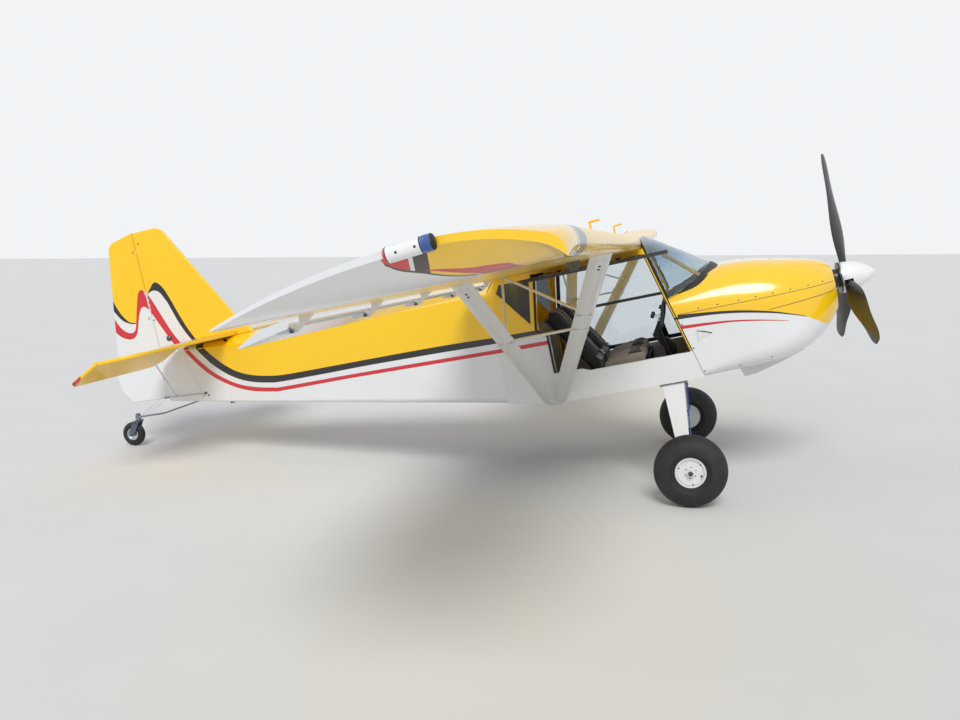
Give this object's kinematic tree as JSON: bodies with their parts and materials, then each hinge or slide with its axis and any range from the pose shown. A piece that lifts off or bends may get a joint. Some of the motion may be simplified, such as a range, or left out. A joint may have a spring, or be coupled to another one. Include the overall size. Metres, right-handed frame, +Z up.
{
  "type": "ultralight aircraft",
  "caption": "High-wing, strut-braced ultralight aircraft with side-by-side seats and a tail wheel, parked with its right door swung up under the wing.",
  "frame": {"origin": "on the floor under the middle of the aircraft's length and span", "axes": "+X forwards to the propeller, +Y towards the left wing tip, +Z up; the aircraft stands on its wheels, so its own level line points up by 11.75 degrees"},
  "size_m": [5.878, 8.822, 2.2493],
  "materials": {
    "yellow_paint": "glossy doped polyester cloth, yellow",
    "white_paint": "glossy white paint",
    "white_metal": "white enamel on steel",
    "yellow_tube": "yellow enamel on steel tube",
    "strut_grey": "painted aluminium section",
    "fibreglass_white": "glossy gelcoat",
    "clear_sheet": "clear acrylic sheet",
    "black_panel": "matt black",
    "black_cloth": "woven upholstery",
    "tyre_rubber": "matt rubber",
    "blade_black": "black composite",
    "bare_metal": "satin",
    "engine_metal": "cast",
    "spring_steel": "grey painted steel",
    "plywood": "painted plywood"
  },
  "bodies": {
    "airframe": {"rear_fuselage": "white_paint", "cabin_floor": "plywood", "roof_panel": "yellow_paint", "skylight": "clear_sheet", "cowl_upper": "fibreglass_white", "cowl_lower": "fibreglass_white", "cooling_lip": "fibreglass_white", "firewall": "bare_metal", "engine_mount": "spring_steel", "engine_block": "engine_metal", "windshield": "clear_sheet", "glareshield": "black_panel", "instrument_panel": "black_panel", "centre_console": "black_panel", "seat_shell": "black_panel", "control_sticks": "black_panel", "rudder_pedals": "bare_metal", "cabin_tubes": "yellow_tube", "fin": "white_paint", "stabilizer": "white_paint", "tail_braces": "strut_grey", "gear_clamps": "white_metal", "tail_spring": "spring_steel", "fuel_vents": "yellow_tube", "tie_down_eyes": "bare_metal", "seat_cushions": "black_cloth", "seat_backs": "black_cloth", "quarter_windows": "clear_sheet", "light_pods": "fibreglass_white", "flap_hangers": "white_metal", "jury_struts": "strut_grey", "cabin_side_left": "white_paint", "cabin_side_right": "white_paint", "wing_left": "yellow_paint", "wing_right": "yellow_paint", "wing_tip_left": "fibreglass_white", "wing_tip_right": "fibreglass_white", "front_strut_left": "strut_grey", "front_strut_right": "strut_grey", "rear_strut_left": "strut_grey", "rear_strut_right": "strut_grey", "gear_leg_left": "white_metal", "gear_leg_right": "white_metal"},
    "propeller": {"propeller": "blade_black", "spinner": "fibreglass_white"},
    "wheel_left": {"main_tyre_left": "tyre_rubber", "main_hub_left": "white_metal"},
    "wheel_right": {"main_tyre_right": "tyre_rubber", "main_hub_right": "white_metal"},
    "tail_caster": {"tail_fork": "spring_steel"},
    "tail_wheel": {"tail_tyre": "tyre_rubber", "tail_hub": "bare_metal"},
    "rudder": {"rudder": "white_paint"},
    "elevator": {"elevator": "white_paint"},
    "flaperon_left": {"flaperon_left": "fibreglass_white"},
    "flaperon_right": {"flaperon_right": "fibreglass_white"},
    "door_left": {"door_frame_left": "white_metal", "door_panes_left": "clear_sheet"},
    "door_right": {"door_frame_right": "white_metal", "door_panes_right": "clear_sheet"}
  },
  "joints": [
    {"name": "propeller_spin", "type": "hinge", "parent": "airframe", "child": "propeller", "pos_m": [2.74322, 0, 1.41462], "axis": [0.979, 0, 0.2037], "continuous": true},
    {"name": "wheel_left_spin", "type": "hinge", "parent": "airframe", "child": "wheel_left", "pos_m": [1.72268, 0.895, 0.232], "axis": [0, 1, 0], "continuous": true},
    {"name": "wheel_right_spin", "type": "hinge", "parent": "airframe", "child": "wheel_right", "pos_m": [1.72268, -0.895, 0.232], "axis": [0, 1, 0], "continuous": true},
    {"name": "tail_caster_turn", "type": "hinge", "parent": "airframe", "child": "tail_caster", "pos_m": [-2.76859, 0, 0.24255], "axis": [0, 0, 1], "range_deg": [-30, 30]},
    {"name": "tail_wheel_spin", "type": "hinge", "parent": "tail_caster", "child": "tail_wheel", "pos_m": [-2.81555, 0, 0.1], "axis": [0, 1, 0], "continuous": true},
    {"name": "rudder_turn", "type": "hinge", "parent": "airframe", "child": "rudder", "pos_m": [-2.57025, 0, 0.97326], "axis": [-0.2037, 0, 0.979], "range_deg": [-25, 25]},
    {"name": "elevator_turn", "type": "hinge", "parent": "airframe", "child": "elevator", "pos_m": [-2.28122, 0, 0.87026], "axis": [0, 1, 0], "range_deg": [0, 54]},
    {"name": "flaperon_left_turn", "type": "hinge", "parent": "airframe", "child": "flaperon_left", "pos_m": [0.36238, 0.84, 1.37015], "axis": [-0.0032, 0.9999, 0.0154], "range_deg": [-20, 20]},
    {"name": "flaperon_right_turn", "type": "hinge", "parent": "airframe", "child": "flaperon_right", "pos_m": [0.36238, -0.84, 1.37015], "axis": [0.0032, 0.9999, -0.0154], "range_deg": [-20, 20]},
    {"name": "door_left_swing", "type": "hinge", "parent": "airframe", "child": "door_left", "pos_m": [1.04635, 0.507, 1.51924], "axis": [0.979, 0, 0.2037], "range_deg": [0, 91]},
    {"name": "door_right_swing", "type": "hinge", "parent": "airframe", "child": "door_right", "pos_m": [1.04635, -0.507, 1.51924], "axis": [0.979, 0, 0.2037], "range_deg": [0, 91]}
  ]
}
